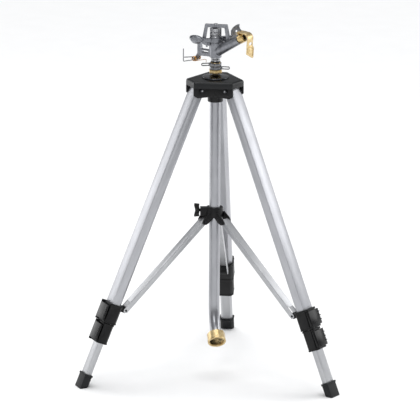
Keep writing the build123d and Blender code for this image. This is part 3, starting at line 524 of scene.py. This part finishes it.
inlet = basis(Vector(joints["swivel_turn"]["pos_m"]), outward, (0, 0, 1))
thread_radius = 12.6 * mm
thread_start = 7.2
thread_pitch = 1.8
thread_turns = 3
turn_steps = 40
thread = []
for step in range(thread_turns * turn_steps + 1):
    angle = math.tau * step / turn_steps
    thread.append(inlet @ Vector((thread_radius * math.cos(angle), thread_radius * math.sin(angle),
                                  (thread_start + thread_pitch * step / turn_steps) * mm)))
finished("hose_thread_ridge", wire(thread, 0.45 * mm), cast_brass, "swivel")

# %% [markdown]
# Two sets of parallel wires cross in a shallow dome. One set lies a quarter of a millimetre behind the
# other, as woven wires do on average, which is simpler than weaving them over and under.

# %% Strainer
mesh_pitch = 1.45       # millimetres between wires
screen_radius = 8.6
strands = []
for row in range(-5, 6):
    across = row * mesh_pitch
    half = math.sqrt(max(screen_radius ** 2 - across ** 2, 0.1))
    for swap in (False, True):
        run = []
        for step in range(13):
            along = half * (step / 6 - 1)
            dome = 3.2 + 3.4 * max(1 - (along ** 2 + across ** 2) / 74, 0)
            spot = (across, along, dome) if swap else (along, across, dome + 0.25)
            run.append(inlet @ (Vector(spot) * mm))
        strands.append(wire(run, 0.24 * mm))
finished("inlet_strainer_weave", joined(*strands), spring_steel, "swivel", ["inlet_screen"])

# %% [markdown]
# ## Friction collars
# Two spring-steel bands grip the riser's shoulder, each with a hairpin tab to turn it by. They set how
# far the head swings before the trip lever meets a tab.

# %% Friction collars
softened("lower_friction_collar", "lower_collar_band", spring_steel, 0.4)
softened("upper_friction_collar", "upper_collar_band", spring_steel, 0.4)

# %% [markdown]
# ## Sprinkler casting and nozzle
# The body, its bridge and its range tube are one die casting. A voxel skin of half a millimetre
# rounds inside and outside corners alike, as the mould does, where a bevel would only reach the edges.
# The nozzle is screwed into the range tube and turned from brass.

# %% Sprinkler casting and nozzle
skin_voxel = 0.5       # millimetres
casting(finished("sprinkler_casting", cad_copy("sprinkler_body"), cast_zinc, "head", ["sprinkler_body"]),
        skin_voxel)
softened("nozzle", "nozzle_turning", turned_brass, 0.3)
softened("nozzle_gasket", "nozzle_gasket_ring", epdm_rubber, 0.2)
softened("fulcrum_pin", "fulcrum_rod", zinc_plate, 0.3)

# %% [markdown]
# ## Deflector
# The deflector is stamped from brass sheet and hinged over the nozzle. The press leaves a raised bead
# round the paddle, which stiffens it: a wire half sunk in the sheet, along an outline of the paddle.

# %% Deflector
softened("deflector", "deflector_stamping", cast_brass, 0.25)
softened("deflector_pin", "deflector_rod", zinc_plate, 0.2)

bead = []
for y, z in ((-6.6, 587.5), (-6.6, 580.2), (9.6, 571.4), (10.4, 573.2), (10.4, 583.5), (6.8, 587.5)):
    x = 72.5 - (600.6 - z) * 0.0808 + 0.72
    bead.append(Vector((x, y, z)) * mm)
finished("deflector_bead", wire(bead, 0.55 * mm, closed=True), cast_brass, "deflector")

# %% [markdown]
# ## Impact arm
# The arm is the second casting: a hub on the fulcrum rod, a spoon at one end that the jet strikes, and
# a counterweight dish at the other. It takes the same half-millimetre skin.

# %% Impact arm
casting(finished("arm_casting", cad_copy("impact_arm"), cast_zinc, "arm", ["impact_arm"]), skin_voxel)

# %% [markdown]
# ## Springs
# The arm spring and the bearing spring are cylinders of round wire. Each helix is worked out from the
# CAD sleeve that stands for it: the same height and outer radius, with each end turn closed.

# %% Springs
def coil(node, wire_radius, turns, steps=28):
    """A helix that fills a CAD node's box, with its end turns closed."""
    low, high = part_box(node)
    middle = (low + high) / 2
    radius = (high.x - low.x) / 2 - wire_radius
    bottom = low.z + wire_radius
    rise = high.z - low.z - 2 * wire_radius
    points = []
    for step in range(turns * steps + 1):
        along = min(max((step / steps - 0.75) / (turns - 1.5), 0), 1)
        angle = math.tau * step / steps
        points.append((middle.x + radius * math.cos(angle), middle.y + radius * math.sin(angle),
                       bottom + rise * along))
    return wire(points, wire_radius)


finished("arm_spring_coil", coil("arm_spring", 1.05 * mm, 7), bright_steel, "head", ["arm_spring"])
finished("bearing_spring_coil", coil("bearing_spring", 0.7 * mm, 6), bright_steel, "head",
         ["bearing_spring"])

# %% [markdown]
# ## Trip lever
# The trip lever is one piece of bent wire, and so is its brass-coloured spring: a coil on either side
# of the casting's ears, joined below, with a long tail that bears on the body. Both are swept along
# the line that the wire follows, in the plane across the trip pin.

# %% Trip lever and its spring
trip = Vector(joints["trip_swing"]["pos_m"]) / mm
softened("trip_pin", "trip_rod", zinc_plate, 0.2)

lever = [(-68.4, 567.1), (-68.4, 550), (-68.4, 546.2), (-67.2, 545)]
lever += [(trip.x - 3.6, trip.z - 3.6), (trip.x - 1.6, trip.z - 2.4)]
for step in range(11):
    angle = math.radians(-110 + 20 * step)
    lever.append((trip.x + 2.25 * math.cos(angle), trip.z + 2.25 * math.sin(angle)))
lever += [(trip.x - 3.2, trip.z + 1.5), (-66.6, trip.z - 2.3)]
finished("trip_lever_wire", wire([Vector((x, 0, z)) * mm for x, z in lever], 0.85 * mm), spring_steel,
         "trip_lever", ["trip_lever"])

spring = []
for way in (-1, 1):
    turns = 5
    line = []
    for step in range(turns * 24 + 1):
        angle = math.tau * step / 24 - math.pi / 2
        line.append(Vector((trip.x + 3.7 * math.cos(angle), way * (8.2 - 4.6 * step / (turns * 24)),
                            trip.z + 3.7 * math.sin(angle))) * mm)
    if way < 0:
        tail = [(-14.3, -7.6, 551.8), (-14.4, -7.6, 556.4), (-16, -7.6, 556.8)]
        tail.append((trip.x + 4, -7.8, trip.z - 3.3))
        line = [Vector(spot) * mm for spot in tail] + line
    spring.append(wire(line, 0.5 * mm))
bridge = [(trip.x, -3.6, trip.z - 3.7), (trip.x + 1, -2.4, trip.z - 4), (trip.x + 1, 2.4, trip.z - 4),
          (trip.x, 3.6, trip.z - 3.7)]
spring.append(wire([Vector(spot) * mm for spot in bridge], 0.5 * mm))
finished("trip_spring_wire", joined(*spring), copper_wire, "head", ["trip_spring"])

# %% [markdown]
# ## Studio
# A plain pale floor, a wide soft ceiling light and three panels. The two side panels stand where the
# legs' outer faces mirror them, so those faces are the brightest, and the rest of the room is dimmer
# than the floor, which gives each facet of a leg its own tone.

# %% Floor
paper = blank("paper_sweep")
tooth = pattern(paper, (60, 60, 60))
finish(paper, Base_Color=two_tone(paper, tooth, "#f5f5f5", "#f7f7f7"), Roughness=0.9)

floor_shape = bmesh.new()
bmesh.ops.create_grid(floor_shape, x_segments=1, y_segments=1, size=12)
floor_mesh = bpy.data.meshes.new("floor")
floor_shape.to_mesh(floor_mesh)
floor_shape.free()
floor_mesh.materials.append(paper)
floor = bpy.data.objects.new("floor", floor_mesh)
bpy.context.scene.collection.objects.link(floor)
print("floor", tuple(round(edge, 1) for edge in floor.dimensions))

# %% [markdown]
# The lights are placed from the camera's side: to the right of it, nearer to it and higher. That way
# each one can be moved to where a tube mirrors it without working out its place in the room.

# %% Lights
camera_azimuth = math.radians(-54.4)
towards_camera = Vector((math.cos(camera_azimuth), math.sin(camera_azimuth), 0))
camera_right = Vector((0, 0, 1)).cross(towards_camera)
centre = Vector((0, 0, 0.32))


def panel(name, right, near, up, size, power):
    """A square area light, placed from the camera's point of view and aimed at the tripod."""
    lamp = bpy.data.lights.new(name, "AREA")
    lamp.size = size
    lamp.energy = power
    item = bpy.data.objects.new(name, lamp)
    spot = centre + camera_right * right + towards_camera * near + Vector((0, 0, up))
    item.matrix_world = basis(spot, spot - centre, camera_right)
    bpy.context.scene.collection.objects.link(item)
    return item


panel("left_panel", -1.9, -1.2, 0.35, 1.4, 12)
panel("right_panel", 2.1, -0.5, 0.75, 1.3, 15)
panel("near_panel", -0.6, 2.4, 1.7, 0.9, 14)

sky_lamp = bpy.data.lights.new("ceiling_light", "SUN")
sky_lamp.energy = 2.2
sky_lamp.angle = math.radians(50)
ceiling = bpy.data.objects.new("ceiling_light", sky_lamp)
ceiling.matrix_world = basis(centre + Vector((0, 0, 3)), Vector((0, 0, 1)) - towards_camera * 0.12,
                             camera_right)
bpy.context.scene.collection.objects.link(ceiling)
print(len(bpy.data.lights), "lights")

# %% [markdown]
# The room beyond the floor is white where the camera looks straight at it and dimmer where only
# reflections see it, as black flags out of frame would make it.

# %% Room
world = bpy.data.worlds.new("studio")
bpy.context.scene.world = world
world.use_nodes = True
room = world.node_tree
room.nodes.clear()
shades = []
for colour, strength in (("#f3f5f8", 0.36), ("#ffffff", 1.0)):
    shade = room.nodes.new("ShaderNodeBackground")
    shade.inputs["Color"].default_value = linear(colour)
    shade.inputs["Strength"].default_value = strength
    shades.append(shade.outputs[0])
ray = room.nodes.new("ShaderNodeLightPath")
choice = room.nodes.new("ShaderNodeMixShader")
ending = room.nodes.new("ShaderNodeOutputWorld")
room.links.new(ray.outputs["Is Camera Ray"], choice.inputs[0])
room.links.new(shades[0], choice.inputs[1])
room.links.new(shades[1], choice.inputs[2])
room.links.new(choice.outputs[0], ending.inputs[0])
bpy.context.scene.view_settings.view_transform = "Standard"
print("room has", len(room.nodes), "nodes")

# %% [markdown]
# ## Camera
# The camera is six metres away with a long lens, a little above the sprinkler and looking down about
# fifteen degrees, so that upright lines stay upright.

# %% Camera
reach = 6.0
camera_height = 1.9183
pitch = math.radians(15.187)
pan = math.radians(-0.077)
roll = math.radians(0.329)
ahead = (-towards_camera * math.cos(pan) + camera_right * math.sin(pan)) * math.cos(pitch)
ahead = ahead - Vector((0, 0, math.sin(pitch)))
flat_right = ahead.cross(Vector((0, 0, 1))).normalized()
flat_up = flat_right.cross(ahead)
lens_right = flat_right * math.cos(roll) + flat_up * math.sin(roll)
camera_data = bpy.data.cameras.new("camera")
camera_data.lens = 307.1
camera_data.sensor_width = 36
camera_data.clip_end = 60
camera = bpy.data.objects.new("camera", camera_data)
camera.matrix_world = basis(towards_camera * reach + Vector((0, 0, camera_height)), -ahead, lens_right)
bpy.context.scene.collection.objects.link(camera)
bpy.context.scene.camera = camera
print("camera at", tuple(round(part, 3) for part in camera.matrix_world.translation))
